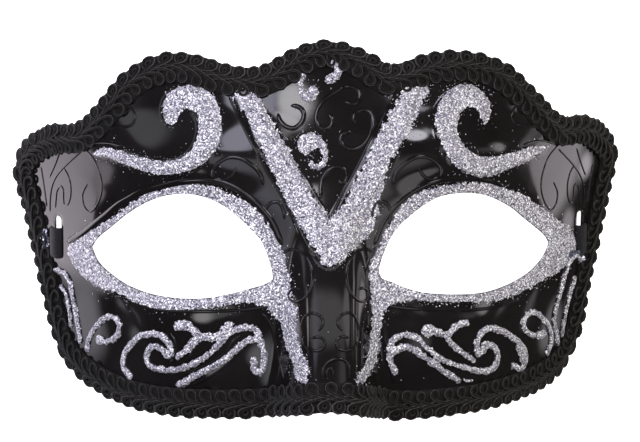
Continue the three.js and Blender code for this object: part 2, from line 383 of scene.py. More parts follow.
def cordMaterial():
    # warm black thread wound round a double cord, with painted highlights along its two crests and painted
    # shade in the groove between them and on its underside; random fuzz makes the tone uneven
    r = Recipe("blackBraid")
    along, across = alongAndAcross(r)
    # painted highlights on the two crests, painted shade in the groove and on the underside, set by place
    # round the profile
    paintedShineAndShade = r.ramp(across, [
        (0.0, 0.1), (0.1, 0.3), (0.17, 1.0), (0.25, 0.06), (0.42, 0.06), (0.5, 0.4), (0.58, 0.1), (0.7, 0.0),
    ])
    thread = r.wave(along, 0.32)
    fuzz = r.noise(1300, 3)
    uneven = r.add("MapRange", "Result", {
        "Value": fuzz, "From Min": 0.3, "From Max": 0.7, "To Min": 0.45, "To Max": 1.3,
    })
    # the painted light and shade, made uneven by the random fuzz
    lit = r.math("MULTIPLY", paintedShineAndShade, uneven)
    colour = r.ramp(lit, [(0.0, (0.0022, 0.002, 0.0018)), (1.0, (0.062, 0.059, 0.055))])
    bump = r.bump(r.math("ADD", thread, fuzz), 0.5, 0.00008)
    return r.made({"Base Color": colour, "Normal": bump}, Roughness=0.75, Specular_IOR_Level=0.15,
                  Sheen_Weight=0.02, Sheen_Roughness=0.4)


def elasticMaterial():
    # ribs along the band crossed by finer rows, from the band's own length and width
    r = Recipe("blackElastic")
    along, across = alongAndAcross(r)
    weave = r.math("MULTIPLY", r.wave(across, 0.8), r.wave(along, 0.7))
    level = r.add("MapRange", "Result", {"Value": weave, "From Min": -1, "From Max": 1})
    colour = r.ramp(level, [(0.2, (0.005, 0.005, 0.006)), (0.8, (0.016, 0.0155, 0.0175))])
    return r.made({"Base Color": colour, "Normal": r.bump(level, 0.7, 0.0002)}, Roughness=0.6,
                  Specular_IOR_Level=0.2, Sheen_Weight=0.03, Sheen_Roughness=0.5)


plastic = plasticMaterial()
glitter = glitterMaterial()
braidCord = cordMaterial()
elastic = elasticMaterial()
paleGlue = glueMaterial()
print("materials made")


# elastic band
band = {
    "width": 9.2, "thickness": 1.0, "row": -3.3, "slotX": {-1: 74.4, 1: 75.2},
    "twistStart": 6, "twistEnd": 19, "length": 0.24, "routePoints": 1600, "rings": 420, "pathStep": 4,
    "profilePoints": 16, "flatAcross": 0.35, "flatThrough": 0.6,
    "inside": [  # behind the mask, from the left slot to the right
        (-71.2, -3.2, 7.9), (-69.2, -2.2, 6.6), (-68.3, 1.6, 5.6), (-67.9, 6.4, 5), (-66.2, 13.6, 4.75),
        (-60.5, 22.6, 4.75), (-52, 30.8, 4.75), (-42, 34.6, 4.75), (-32, 31.6, 4.75), (-23, 22.6, 4.75),
        (-15.5, 9.5, 4.75), (-9, -3.5, 4.75), (0, -9, 4.75), (9, -3, 4.75), (14.5, 10, 4.75), (21, 23, 4.75),
        (30, 31.8, 4.75), (39.5, 33.6, 4.75), (47.5, 27, 4.75), (54, 19.4, 4.75), (61, 15.4, 4.75),
        (66.4, 9.6, 4.75), (68.2, 2.6, 5.4), (69.2, -2, 6.6), (71.2, -3.2, 7.9),
    ],
    # up the wing's slope and lift, from the front through the slot
    "atSlot": [(-2.6, 0.8), (-1.7, 1), (-0.9, 1), (0, 0.75), (0.65, 0), (0.85, -1.2), (0.7, -2.6)],
}


def wingAxes(side, row):
    # along the wing in the plane of constant X, up its slope, and out of it
    x, y = np.array(side * band["slotX"][side]), np.array(float(row))
    normal = faceNormal(x, y)
    along = unit(np.array([0, normal[2], -normal[1]]))
    return onFace(x, y), along, np.cross(along, normal) * -side, normal


def bandAtSlot(side):
    place, _, upSlope, normal = wingAxes(side, band["row"])
    return [place + upSlope * a + normal * b for a, b in band["atSlot"]]


def makeBand():
    # a flat rounded profile along the route; its width turns from the wing's slope to upright
    route = smoothLine([*bandAtSlot(-1), *band["inside"], *bandAtSlot(1)[::-1]], band["routePoints"])
    length = runOf(route)[-1]
    rings = evenLine(route, band["rings"])
    tangent = unit(np.gradient(rings, axis=0))
    run = np.linspace(0, length, len(rings))
    onEdge = softStep(band["twistStart"], band["twistEnd"], np.minimum(run, length - run))[:, None]
    across = wingAxes(1, band["row"])[1] * (1 - onEdge) + np.array([0, 0, 1.0]) * onEdge
    across = unit(across - tangent * np.sum(across * tangent, axis=1, keepdims=True))
    through = np.cross(tangent, across)
    turn = np.linspace(0, 2 * np.pi, band["profilePoints"], endpoint=False)
    profile = np.column_stack([
        np.sign(np.cos(turn)) * np.abs(np.cos(turn)) ** band["flatAcross"] * band["width"] / 2,
        np.sign(np.sin(turn)) * np.abs(np.sin(turn)) ** band["flatThrough"] * band["thickness"] / 2,
    ])
    points, faces = sweep(rings, across, through, profile)
    uv = np.column_stack([np.repeat(run, len(profile)), np.tile(profile[:, 0], len(rings))])
    strap = addPiece("elasticBand", points, faces, elastic, ["elastic_strap"], uv=uv)
    print("band length", round(length, 1), "mm")


makeBand()


# openings and outlines of the moulding, in millimetres
trimRoute = [  # middle of the braid, clockwise from the peak of the crown
    (0, 48.3), (6, 47), (11, 44.4), (16.5, 41.2), (22, 42), (28.5, 44.2), (36.5, 45.2), (44, 44.4),
    (50.2, 41.8), (55.8, 37.5), (61.4, 32.2), (67.6, 27.8), (75.2, 28.4), (81, 26), (84.4, 21.8), (83.7, 17),
    (81.7, 8), (78.9, -5), (76.1, -18), (73.6, -29.5), (70.8, -36), (66.4, -40.2), (58.8, -43.4),
    (46.6, -46.4), (33.4, -47.8), (20.6, -48.2), (10.5, -46.8), (0, -45.2), (-9, -46.2), (-20, -47.4),
    (-30, -47.7), (-41.3, -47.5), (-51.6, -46.2), (-60.2, -43.2), (-66.8, -39.2), (-71.4, -34.2),
    (-73.8, -27.5), (-76.1, -18), (-78.9, -5), (-81.7, 8), (-83.8, 16.6), (-83.3, 20.8), (-80, 24.2),
    (-74.8, 26.2), (-68.6, 26.2), (-63.6, 29.4), (-58.6, 35), (-53.8, 40.2), (-47.4, 44), (-40.8, 45),
    (-35, 43.9), (-29.5, 41.9), (-24.4, 40.8), (-17.6, 40.8), (-11.4, 43.7), (-6, 46.8),
]
leftEye = [
    [(-64.9, -4.5), (-63.2, -1.9), (-59.7, 0.9), (-56.3, 3.7), (-52.4, 6.4), (-48.5, 8.4), (-44.4, 9.7),
     (-39.7, 10.2), (-34.8, 9.6), (-30.7, 8.1), (-26.7, 5.6), (-23.4, 2.8), (-20.4, -0.2), (-18, -3.4),
     (-16.4, -7.2), (-15.3, -11.6), (-15.1, -13.3)],
    [(-15.1, -13.3), (-17.2, -14.6), (-21.6, -15.9), (-26.7, -17.3), (-33.5, -18.5), (-40.4, -18.6),
     (-45.9, -18), (-50.6, -16.8), (-54.8, -15.1), (-59.5, -12), (-63, -8.6), (-64.9, -4.5)],
]
rightEye = [
    [(65, -4.1), (63.6, -2), (60.2, 0.6), (56.6, 3.1), (52.8, 5.9), (48.7, 8), (44.5, 9.5), (39.7, 10.1),
     (35.4, 9.9), (31.3, 9.1), (27.5, 7.3), (23.7, 4.6), (20.2, 1.6), (17.4, -1.9), (15.7, -5.5),
     (14.5, -8.7), (14, -11.2), (14.7, -13.3)],
    [(14.7, -13.3), (17.4, -14.2), (21.7, -16), (26.9, -17.3), (34.1, -17.9), (41.2, -17.9), (46, -17.3),
     (50.3, -16.1), (55.2, -14.1), (59.6, -11.4), (63.1, -7.8), (65, -4.1)],
]


def trimTrack(count):
    # even stations along the trim: plan place, outward direction in the plan, and total length
    plan = smoothLine(trimRoute, count * 5 // 4, True)
    laid = onFace(plan[:, 0], plan[:, 1])
    length = runOf(np.vstack([laid, laid[:1]]))[-1]
    laid = evenLine(laid, count, True)
    tangent = unit(np.roll(laid, -1, axis=0) - np.roll(laid, 1, axis=0))
    outward = unit(np.cross(faceNormal(laid[:, 0], laid[:, 1]), tangent))
    return laid[:, :2], outward[:, :2], length


trackPlan, trackOut, trackLength = trimTrack(2400)
spreadOnTable = 0.6  # how far a loop that is pressed down moves outward, for each part of its sinking


def besideTrim(run, across, lift, table=None):
    # the point beside the trim's middle at a run along it, an offset outward and a lift off the face
    # what would lie below the table height spreads outward on it
    at = np.mod(run, trackLength) / trackLength * len(trackPlan)
    i = at.astype(int) % len(trackPlan)
    k, w = (i + 1) % len(trackPlan), (at - at.astype(int))[:, None]
    plan = trackPlan[i] * (1 - w) + trackPlan[k] * w
    out = trackOut[i] * (1 - w) + trackOut[k] * w
    place = plan + out * across[:, None]
    points = onFace(place[:, 0], place[:, 1], lift)
    if table is not None:
        low = np.maximum(0, table - points[:, 2])
        points[:, :2] += out * low[:, None] * spreadOnTable
        points[:, 2] += low
    return points


strapSlot = {
    "row": {-1: -1.6, 1: -0.9}, "halfWide": 1.45, "halfLong": 6.2, "corner": 0.9,
    "arcPoints": 48, "points": 90,
}


def slotOutline(side):
    # a rounded oblong through the wing, seen in the plan
    place, along, upSlope, _ = wingAxes(side, strapSlot["row"][side])
    turn = np.linspace(0, 2 * np.pi, strapSlot["arcPoints"], endpoint=False)
    corner = strapSlot["corner"]
    a = np.sign(np.cos(turn)) * (strapSlot["halfWide"] - corner) + np.cos(turn) * corner
    b = np.sign(np.sin(turn)) * (strapSlot["halfLong"] - corner) + np.sin(turn) * corner
    plan = place[None, :2] + a[:, None] * upSlope[None, :2] + b[:, None] * along[None, :2]
    return evenLine(plan, strapSlot["points"], True)


eyePoints = 60


def eyeOutline(eye):
    # the upper edge, then the lower one back
    over, under = (smoothLine(side, eyePoints) for side in eye)
    return np.vstack([over[:-1], under[:-1]])


# a grid over the face, finer across where the sides are steep
field = {"half": 88, "low": -54.0, "high": 108, "closeUp": 0.75, "closeAt": 85, "scan": 4001}


class FaceGrid:
    # columns close up toward the sides; x and y hold each corner's place in the plan
    def __init__(self, step):
        self.step = step
        self.scanX = np.linspace(-field["half"], field["half"], field["scan"])
        rate = 1 + field["closeUp"] * (np.abs(self.scanX) / field["closeAt"]) ** 3
        self.scanCol = np.r_[0, np.cumsum((rate[1:] + rate[:-1]) / 2 * np.diff(self.scanX))] / step
        self.low = field["low"]
        self.cols, self.rows = int(self.scanCol[-1]), int(field["high"] / step)
        row, col = np.meshgrid(np.arange(self.rows), np.arange(self.cols), indexing="ij")
        self.corners = np.stack([col, row], -1).astype(float)
        self.x, self.y = self.plan(self.corners)

    def plan(self, corners):
        return np.interp(corners[..., 0], self.scanCol, self.scanX), corners[..., 1] * self.step + self.low

    def steps(self, line):
        # plan points as column and row numbers
        cols = np.interp(line[:, 0], self.scanX, self.scanCol)
        return np.column_stack([cols, (line[:, 1] - self.low) / self.step])

    def patch(self, a, b, reach):
        # the block of corners round a stretch of line, in grid steps
        c0, r0 = np.maximum(np.floor(np.minimum(a, b) - reach).astype(int), 0)
        c1, r1 = np.ceil(np.maximum(a, b) + reach).astype(int) + 1
        return slice(r0, min(r1, self.rows)), slice(c0, min(c1, self.cols))

    def inside(self, line):
        # a corner is inside where an odd number of the outline's edges cross its row to its left
        flips = np.zeros((self.rows, self.cols + 1), int)
        pts = self.steps(line)
        for (x0, y0), (x1, y1) in zip(pts, np.roll(pts, -1, axis=0)):
            low, high = sorted((y0, y1))
            rows = np.arange(max(0, math.ceil(low)), min(self.rows, math.ceil(high)))
            if len(rows):
                cols = np.ceil(x0 + (rows - y0) * (x1 - x0) / (y1 - y0)).astype(int)
                np.add.at(flips, (rows, np.clip(cols, 0, self.cols)), 1)
        return np.cumsum(flips, axis=1)[:, :-1] % 2 == 1

    def nearest(self, line, reach, closed=True):
        # distance in steps from each corner to a line of the plan, and the closest point of it
        away = np.full((self.rows, self.cols), 1e3)
        foot = np.zeros((self.rows, self.cols, 2))
        pts = self.steps(line)
        ends = np.roll(pts, -1, axis=0) if closed else pts[1:]
        for a, b in zip(pts, ends):
            block = self.patch(a, b, reach)
            q = self.corners[block]
            t = np.clip(((q - a) @ (b - a)) / max(1e-12, (b - a) @ (b - a)), 0, 1)
            p = a + t[..., None] * (b - a)
            d = np.linalg.norm(q - p, axis=-1)
            near = d < away[block]
            away[block] = np.where(near, d, away[block])
            foot[block] = np.where(near[..., None], p, foot[block])
        return away, foot

    def depth(self, line, reach):
        # distance from each corner to an outline in millimetres, more than 0 inside it
        away, _ = self.nearest(line, reach / self.step)
        return np.where(self.inside(line), 1, -1) * away * self.step


def gridFaces(keep, rows, cols):
    # quads whose four corners are kept, and triangles where just one is not
    n = np.arange(rows * cols).reshape(rows, cols)
    corner = [n[:-1, :-1], n[:-1, 1:], n[1:, 1:], n[1:, :-1]]
    there = [keep.ravel()[c] for c in corner]
    total = sum(t.astype(int) for t in there)
    quads = np.stack([c[total == 4] for c in corner], -1)
    triangles = []
    for k in range(4):
        lone = (total == 3) & ~there[k]
        triangles.append(np.stack([corner[(k + m) % 4][lone] for m in (1, 2, 3)], -1))
    return quads, np.vstack(triangles)


def borderEdges(faces, count):
    # directed edges that no other face runs back along
    starts = np.concatenate([g.ravel() for g in faces])
    ends = np.concatenate([np.roll(g, -1, axis=1).ravel() for g in faces])
    alone = ~np.isin(starts * count + ends, ends * count + starts)
    return starts[alone], ends[alone]


def closedSheet(front, back, faces):
    # two sheets on the same faces, joined round every border, unused corners dropped
    count = len(front)
    a, b = borderEdges(faces, count)
    rim = np.stack([b, a, a + count, b + count], -1)
    faces = [*faces, *(g[:, ::-1] + count for g in faces), rim]
    used = np.unique(np.concatenate([g.ravel() for g in faces]))
    place = np.zeros(2 * count, int)
    place[used] = np.arange(len(used))
    return np.vstack([front, back])[used], [place[g] for g in faces]


# moulded shell
shell = {
    "step": 0.62, "wall": 1.3, "rim": 0.35, "rimReach": 5, "edge": 2.8, "edgePoints": 900, "foot": 0.62,
    "lipDrop": 0.22, "raised": 0.6, "raisedSlope": 1.1, "raisedReach": 2.0, "draft": 0.16,
    "lineStep": 0.55, "lineArcs": 6, "lineEnd": 0.25, "rimSearch": 6, "edgeSearch": 1.5, "snap": 0.5,
    "footWall": 0.5,
}
vee = [  # moulded V: outer edge from the right top to the tip, then the inner edge; mirrored
    [(26.6, 40), (19.9, 22), (14.3, 12.2), (8.6, 1), (3.6, -8.4), (0, -11)],
    [(0, 3), (6, 14), (12.6, 24.6), (20.2, 40)],
]
browScroll = [
    (63.5, 21.6), (57.5, 22.8), (51.5, 20.6), (45.5, 19.4), (40, 20.6), (36.8, 24), (35.9, 29.4), (38.6, 33),
    (41.6, 31.2), (43.6, 29), (45.4, 32.6), (44.6, 37), (40.4, 39.8), (35.4, 39.2), (31, 35.6), (29.4, 30),
    (30.4, 23.4), (34, 18), (39.8, 15.2), (46.8, 15), (53.4, 17.4), (58.6, 20),
]
mouldedLines = [  # raised bars: width, height, sides they are on (-1 left, 1 right), points on the right
    # round the eyes
    (1.9, 0.5, (-1,), [(72, -3), (69.5, -1.8), (67.2, -0.4), (63.7, 2.3), (61.1, 4.3), (57.5, 7.2),
        (54.6, 8.8), (52.1, 10.2), (49.1, 11.4), (45.8, 12.2), (40, 13.4), (30.2, 13.5), (22.4, 9.8),
        (16, 3.4), (12.6, -4)]),
    (1.4, 0.4, (1,), [(50, 12), (45.8, 13.3), (40, 13.9), (30.2, 13.2), (22.4, 9.6), (16, 3.4), (12.6, -4)]),
    (1.0, 0.3, (-1, 1), [(16.2, -20.8), (22, -21.6), (33, -22.2), (44, -22.2), (50, -21.3), (55.5, -19.6)]),
    # beside the nose
    (0.9, 0.32, (1,), [(12.9, -4.6), (10.8, -9.2), (10.5, -13.4), (10.7, -18.3), (11.1, -22.8),
        (10.8, -27)]),
    (0.9, 0.3, (-1,), [(18.1, -22.6), (16.4, -24.8), (15.3, -27.5), (14.5, -30.8), (13.7, -34.4),
        (12.9, -37.7), (12.2, -40.9)]),
    (1.2, 0.3, (1,), [(15.5, -24.6), (15.9, -28.8), (16.8, -32.9), (17.4, -37.1), (18.4, -42.2)]),
    # beside the glitter on the left cheek
    (0.8, 0.35, (-1,), [(42.8, -28.4), (41.8, -30.7), (41.5, -33.5), (42, -35.4), (43.2, -36.4)]),
    (0.8, 0.35, (-1,), [(41.3, -39.4), (36.8, -38.6), (32.2, -36.6), (28.6, -34), (25.9, -30.2),
        (24.1, -28.8)]),
    (0.7, 0.3, (-1,), [(38.2, -35.3), (36.8, -33.2), (34.5, -31), (32.2, -29.7)]),
    (0.8, 0.35, (-1,), [(36.8, -42.6), (32.2, -40.4), (27.7, -37), (25, -34.2), (23.2, -32.3)]),
    # along the vee
    (0.7, 0.35, (-1,), [(26.8, 36.8), (24.3, 31.2), (21.6, 25.3), (18.8, 19.9), (15.2, 13.5), (12.9, 9.5),
        (8.9, 2), (4.4, -6.6)]),
    (0.7, 0.35, (-1,), [(25.4, 36.7), (23.1, 31.6), (20.4, 25.7), (17.6, 19.9), (14.4, 13.9), (12.1, 9.5),
        (8.2, 2.4)]),
    (0.7, 0.35, (1,), [(17.8, 35.9), (14.6, 29.8), (11.2, 23.8), (7.6, 16.6), (5.1, 12.2), (3, 8.2),
        (0.6, 3.4)]),
    (0.7, 0.35, (1,), [(19.6, 35.9), (16, 29.4), (12.4, 22.9), (9.2, 17), (6.3, 11.8), (4.3, 8.2),
        (2.2, 4.4)]),
    # on the wings
    (0.6, 0.24, (-1, 1), [(67.6, 24), (64.4, 20.6), (62.8, 17.2), (61.9, 13.3), (62.2, 9.9), (64, 6.3),
        (65.4, 5.4), (66.8, 6.8), (67.4, 10), (66.8, 11.9), (65.9, 13.3)]),
    (0.6, 0.24, (-1, 1), [(67.4, 22.7), (72.8, 18), (74.9, 15.6), (76.2, 12.8), (76.8, 9), (76.9, 5.6)]),
    (0.6, 0.24, (-1, 1), [(72.8, 18), (71.6, 16), (70.8, 13), (70.9, 9.6), (71.7, 7.6), (72.6, 7.4),
        (72.9, 9), (73, 12), (73.7, 12.9), (74.7, 11.6), (75.1, 8.9), (75.3, 6.6)]),
    (0.6, 0.24, (-1, 1), [(73.6, 23), (75.3, 18.8), (77, 15.3)]),
    (0.6, 0.24, (-1, 1), [(79.4, 18.5), (78.8, 14.6), (78.2, 10.1), (77.8, 7)]),
    # at the temples and under the brows
    (0.7, 0.3, (-1, 1), [(66.4, 24), (63.3, 24.8), (59.6, 24.6), (55.8, 23.6)]),
    (0.9, 0.35, (-1, 1), [(56.5, 35), (54, 34.4), (52.6, 32.2), (52.9, 30.2), (54, 29.2), (57.3, 29),
        (61, 28.8)]),
    (1.2, 0.42, (-1, 1), [(31.2, 13.6), (31.2, 16.8), (29.6, 18.8), (27.2, 20), (24, 19.8), (20.8, 17.9),
        (18.5, 15.4), (17.7, 12.4)]),
    (1.0, 0.35, (-1, 1), [(31, 14.6), (29.2, 13.9), (27.2, 14.2), (25.8, 15.5), (25, 17.3)]),
    # on the nose
    (1.0, 0.35, (-1, 1), [(16.8, 1.2), (17.2, 5), (15.9, 7.4), (13.6, 7.7), (12.2, 5.4), (12, 3)]),
    (0.85, 0.34, (-1, 1), [(12.6, -6.4), (10.4, -5.2), (7.6, -5.9), (5.4, -8.6), (4.6, -12.2), (5.2, -16),
        (7.4, -18.9), (9.8, -19.4), (10.9, -17.6), (9.8, -15.9), (7.9, -16)]),
    (0.85, 0.34, (-1, 1), [(3.2, -27.3), (2, -25.3), (2.6, -23.4), (5, -22.4), (7, -23.8), (7.8, -27.6),
        (7, -31.2), (4.6, -32.6), (2, -32), (1.6, -30), (3, -28.9), (5.2, -29.2)]),
    # on the forehead
    (1.4, 0.5, (1,), [(-13.5, 32.1), (-13.1, 30.3), (-11.5, 28.5), (-9.5, 27.9), (-7.9, 28.7), (-6.7, 30.3),
        (-6.5, 32.3), (-7.4, 33.5), (-8.8, 34.1), (-10, 34.1)]),
    (1.2, 0.45, (1,), [(4.7, 39.3), (1.9, 37.9), (-1, 35.5), (-2.8, 32.7), (-3.1, 29.9), (-1.9, 28),
        (0.1, 28), (1.3, 29.4), (1.1, 30.8), (0.1, 31.9)]),
    (1.2, 0.45, (1,), [(4.7, 39.3), (7.1, 39.3), (8.7, 37.9), (8.9, 36.1), (7.4, 34.7), (5.6, 34.9),
        (4.8, 35.5)]),
    (1.2, 0.45, (1,), [(7.9, 29), (7.2, 30.6), (7.8, 32.2), (9.6, 33), (11.4, 32.4), (12.4, 30.6),
        (12.1, 27.4), (10.4, 24.2), (7.6, 22.2), (5.2, 22.6), (3.6, 24.2), (3.7, 25.8), (5.3, 27),
        (6.9, 26.5)]),
    (1.2, 0.45, (1,), [(-2, 8.6), (-2.1, 11.4), (-1.3, 14.6), (0.4, 16.6), (2.4, 17.4), (4.4, 16.8),
        (5.3, 15), (4.5, 13.2), (3.3, 13), (3.1, 14.2)]),
    # at the tip of the nose
    (1.0, 0.45, (1,), [(-2.2, -40.8), (-1.7, -36.9), (-0.3, -35.5), (1.8, -34.8), (3.8, -35.3), (4.8, -37),
        (5.1, -40.6)]),
    (0.9, 0.45, (1,), [(-1.1, -40.6), (-0.9, -37.9), (-0.1, -37.2), (0.5, -38.4), (0.5, -40.6)]),
]


def outlines():
    # the edge of the moulding, then its openings
    run = np.linspace(0, trackLength, shell["edgePoints"], endpoint=False)
    edge = besideTrim(run, np.full(len(run), shell["edge"]), np.zeros(len(run)))[:, :2]
    return edge, [eyeOutline(leftEye), eyeOutline(rightEye), slotOutline(-1), slotOutline(1)]


def raisedLift(grid):
    # flat-topped forms with a soft slope: the V and the two brow scrolls
    outer, inner = (smoothLine(part, 60) for part in vee)
    half = np.vstack([outer, inner])
    scroll = smoothLine(browScroll, 200, True)
    lift = np.zeros_like(grid.x)
    for form in (half, np.array(mirrored(half)), scroll, np.array(mirrored(scroll))):
        depth = grid.depth(form, shell["raisedReach"])
        lift = np.maximum(lift, shell["raised"] * softStep(0, shell["raisedSlope"], depth))
    return lift


def raisedLine(points, width, height):
    # a bar along a moulded line, small at both ends
    parts = bar(linePoints(points, shell["lineStep"]), width, height, shell["lineArcs"])
    run, least = runOf(parts[0]), shell["lineEnd"]
    end = np.minimum(run, run[-1] - run)
    return sweep(*parts, scale=least + (1 - least) * np.sqrt(np.clip(end / width, 0, 1)))


def makeShell():
    # the face grid, its border corners pulled onto the outlines, thickened inward, thinner round the openings
    grid = FaceGrid(shell["step"])
    edge, openings = outlines()
    keep, border, cut = grid.inside(edge), np.zeros_like(grid.x, bool), np.zeros_like(grid.x, bool)
    place, middle = grid.corners.copy(), np.zeros_like(grid.corners)
    wall = np.full_like(grid.x, shell["wall"])
    for line, hole in [(edge, False), *((opening, True) for opening in openings)]:
        away, foot = grid.nearest(line, shell["rimSearch"] if hole else shell["edgeSearch"])
        near = away < shell["snap"]
        if hole:
            thin = shell["rim"] + (shell["wall"] - shell["rim"]) * softStep(0, shell["rimReach"], away)
            wall = np.minimum(wall, thin)
            keep &= ~grid.inside(line)
        place = np.where(near[..., None], foot, place)
        border |= near
        cut |= near & hole
        middle = np.where(near[..., None], line.mean(axis=0), middle)
    keep |= border
    x, y = (v.ravel() for v in grid.plan(place))
    lift = raisedLift(grid).ravel() - shell["lipDrop"] * border.ravel()
    front = onFace(x, y, lift)
    back = onFace(x, y, -wall.ravel())
    # an opening's wall goes straight down and leans out from its middle, so it doesn't show from the front
    lean = unit(np.column_stack([x, y]) - middle.reshape(-1, 2)) * shell["draft"] * (front - back)[:, 2:]
    upright = np.column_stack([np.column_stack([x, y]) + lean, back[:, 2]])
    back = np.where(cut.ravel()[:, None], upright, back)
    front[:, 2] = np.maximum(front[:, 2], shell["foot"] + shell["footWall"])
    back[:, 2] = np.maximum(back[:, 2], shell["foot"])
    quads, triangles = gridFaces(keep, grid.rows, grid.cols)
    # a triangle with all three corners on an outline lies outside the moulding
    triangles = triangles[~border.ravel()[triangles].all(axis=1)]
    parts = [closedSheet(front, back, [quads, triangles])]
    for width, height, sides, points in mouldedLines:
        parts += [raisedLine(np.array(points) * (side, 1), width, height) for side in sides]
    points, faces = joined(parts)
    addPiece("maskShell", points, faces, plastic, ["mask_shell"])


makeShell()


# glitter
crust = {
    "step": 0.34, "thin": 0.1, "thick": 0.34, "sunk": 0.15, "shift": 0.55, "noiseCell": 3,
    "specks": 1300, "speckLow": 2.0, "strayFade": 0.8, "strayAll": 0.002, "stray": 5.0, "seed": 11,
    "bead": 0.5, "beadSlope": 1.1, "fuller": 0.2, "far": 99.0, "lineStep": 0.6, "ringPoints": 240,
    "runPoints": 140, "fineNoise": 0.6, "noiseDown": 0.8, "edgeThin": 0.35, "edgeFade": 0.9,
    "speckLift": 0.05, "speckLeast": 0.12, "speckMore": 0.2,
    "ragged": {"vee": 0.68, "leftEyeBand": 0.48, "rightEyeBand": 0.44}, "raggedElse": 0.24,
}
patches = {  # patches = { # the glitter was laid on by hand, so the two sides differ; each outline is one or two smooth runs
    "vee": [
        [(-26.4, 38.4), (-25.2, 35.4), (-21.2, 29.5), (-18.5, 22.3), (-14.2, 13.5), (-10.7, 5.9),
         (-7.5, 0.7), (-5.6, -3.2), (-3.1, -6.8), (-1.2, -9.7), (1.2, -10.2), (3.4, -9.4), (5.9, -6.5),
         (10.8, -2.2), (13.1, 1.6), (14.4, 8.2), (16.1, 15), (18, 19.6), (21.1, 23.9), (23.6, 28.3),
         (25.7, 32.6), (28, 37.8), (28.9, 41)],
        [(20.6, 38.5), (19.6, 36.4), (15.7, 29.8), (12.6, 24), (9.6, 18.3), (5.9, 11.2), (2.5, 5.5),
         (0.7, 3.2), (-1, 5.5), (-4.7, 10.7), (-7.4, 15.7), (-10.6, 22), (-13.3, 26.9), (-15.7, 30.8),
         (-17.6, 36.6)],
    ],
    "leftEyeBand": [
        [(-71.9, -4.6), (-68.3, -1.1), (-63.2, 1.5), (-58.3, 4.5), (-55.2, 7.1), (-50.5, 9.7), (-45.8, 11.6),
         (-40, 12.9), (-33.5, 12.6), (-26.7, 10.6), (-19.1, 5.6), (-15.9, 1.5), (-13.7, -2.6), (-12.2, -5),
         (-11.3, -8.9), (-10.3, -13), (-9.8, -17.6), (-8.7, -21.9), (-8.5, -27.6), (-7.5, -32.2),
         (-5.6, -36.8), (-5.9, -39.4), (-6.6, -41.8)],
        [(-9.4, -41.2), (-9.8, -37.2), (-10.9, -34.3), (-12.1, -30.8), (-13.5, -25.3), (-15.4, -22.6),
         (-17.8, -20.6), (-20.8, -20.1), (-27, -20.7), (-33.3, -21.3), (-41.2, -22.2), (-48.9, -21.8),
         (-52, -20.4), (-57, -18), (-62.4, -16.4), (-66.7, -13.3), (-69.9, -10), (-71.9, -6.8)],
    ],
    "rightEyeBand": [
        [(74.6, -4.2), (72.2, 0.2), (67.9, 2.5), (62.2, 6.2), (57, 9.3), (51.3, 11.5), (45.8, 13.1),
         (40.5, 13.1), (33.3, 12.5), (28.2, 11.4), (23.1, 9.3), (17.2, 2.4), (13.3, -5.2), (11.4, -9),
         (11.1, -13.4), (11.3, -18.3), (11.7, -23.2), (11.3, -29.5), (10.7, -32.7), (9.5, -36.5),
         (6.8, -40.4), (7.2, -42)],
        [(9.8, -41.6), (12.8, -37.3), (14.3, -32.6), (14.5, -28), (15.3, -23.3), (17.8, -20.6), (19.8, -20),
         (23.1, -19.5), (28, -20.1), (34.6, -20.5), (42.9, -20.4), (48.1, -20.3), (53.4, -19), (59.1, -16.9),
         (63.1, -14.8), (67.8, -12.6), (70.9, -10.7), (72.8, -9.1), (74.4, -6.6)],
    ],
    "leftComma": [
        [(-64.6, 21.4), (-62.1, 23.4), (-59, 23.4), (-55.7, 22.2), (-51.5, 20.8), (-47.4, 19.7),
         (-43.3, 19.4), (-40, 20.4), (-37.3, 22.2), (-35.5, 25.8), (-35, 29.6), (-35.8, 32.2), (-38, 33.4),
         (-39.9, 32.5), (-41.1, 30.2), (-42.6, 29), (-44.1, 30.3), (-44.7, 33), (-44.4, 35.8), (-43.3, 37.9),
         (-41.3, 39.4), (-38.2, 40.2), (-34.9, 39.8), (-31.7, 38), (-29.6, 34.8), (-28.8, 30.6),
         (-29.1, 26.2), (-30.5, 22.2), (-33.5, 18.7), (-36.9, 16.8), (-41.7, 15.6), (-46.6, 15.7),
         (-51.5, 17), (-55.7, 18.4), (-60.2, 20.6)],
    ],
    "rightComma": [
        [(64.6, 23.2), (58.6, 23.2), (53, 21.7), (47.4, 20.4), (43.8, 20.3), (40.9, 21), (37.9, 23.2),
         (36.4, 26.5), (36.5, 29.9), (37.8, 32.8), (39.8, 33.8), (42, 32.7), (42.9, 30.5), (44.2, 29),
         (45.7, 30.6), (46.2, 33), (46, 35.6), (44.3, 38), (41.4, 40), (38, 40.4), (34.5, 39), (31.6, 36),
         (30, 32.3), (29.8, 27.9), (30.9, 24), (33, 20), (36, 16.8), (39.6, 14.9), (43.9, 14.4),
         (48.1, 15.3), (51.1, 16.6), (54.8, 17.9), (58.6, 19.7), (61.9, 21.8)],
    ],
    "foreheadComma": [
        [(-8.6, 23.9), (-7.8, 25.5), (-6.3, 26.5), (-4.7, 26.8), (-2.7, 26.2), (-1.2, 25), (-0.3, 23),
         (0.1, 20.6), (-0.3, 18.6), (-1.4, 17), (-2.8, 16.4), (-4.6, 16.5), (-5.2, 17.4), (-5.2, 18.8),
         (-4.4, 19.1), (-3.6, 18.1), (-2.6, 18.2), (-1.9, 19.2), (-1.9, 21), (-2.8, 22.2), (-3.8, 21.8),
         (-4.8, 20.8), (-6.4, 20.6), (-7.8, 21.8)],
    ],
    "foreheadHook": [
        [(-7.1, 43.6), (-7.7, 41.2), (-8.1, 39.6), (-7.8, 37.6), (-6.8, 35.7), (-5.2, 34.8), (-3.6, 35.7),
         (-2.6, 37.3), (-2.2, 38.7), (-3.3, 39.6), (-4.5, 39.6), (-5.4, 38.7), (-5.4, 37.8), (-6.1, 38),
         (-6.5, 39.6), (-6, 41.2), (-5.5, 42.8)],
    ],
}
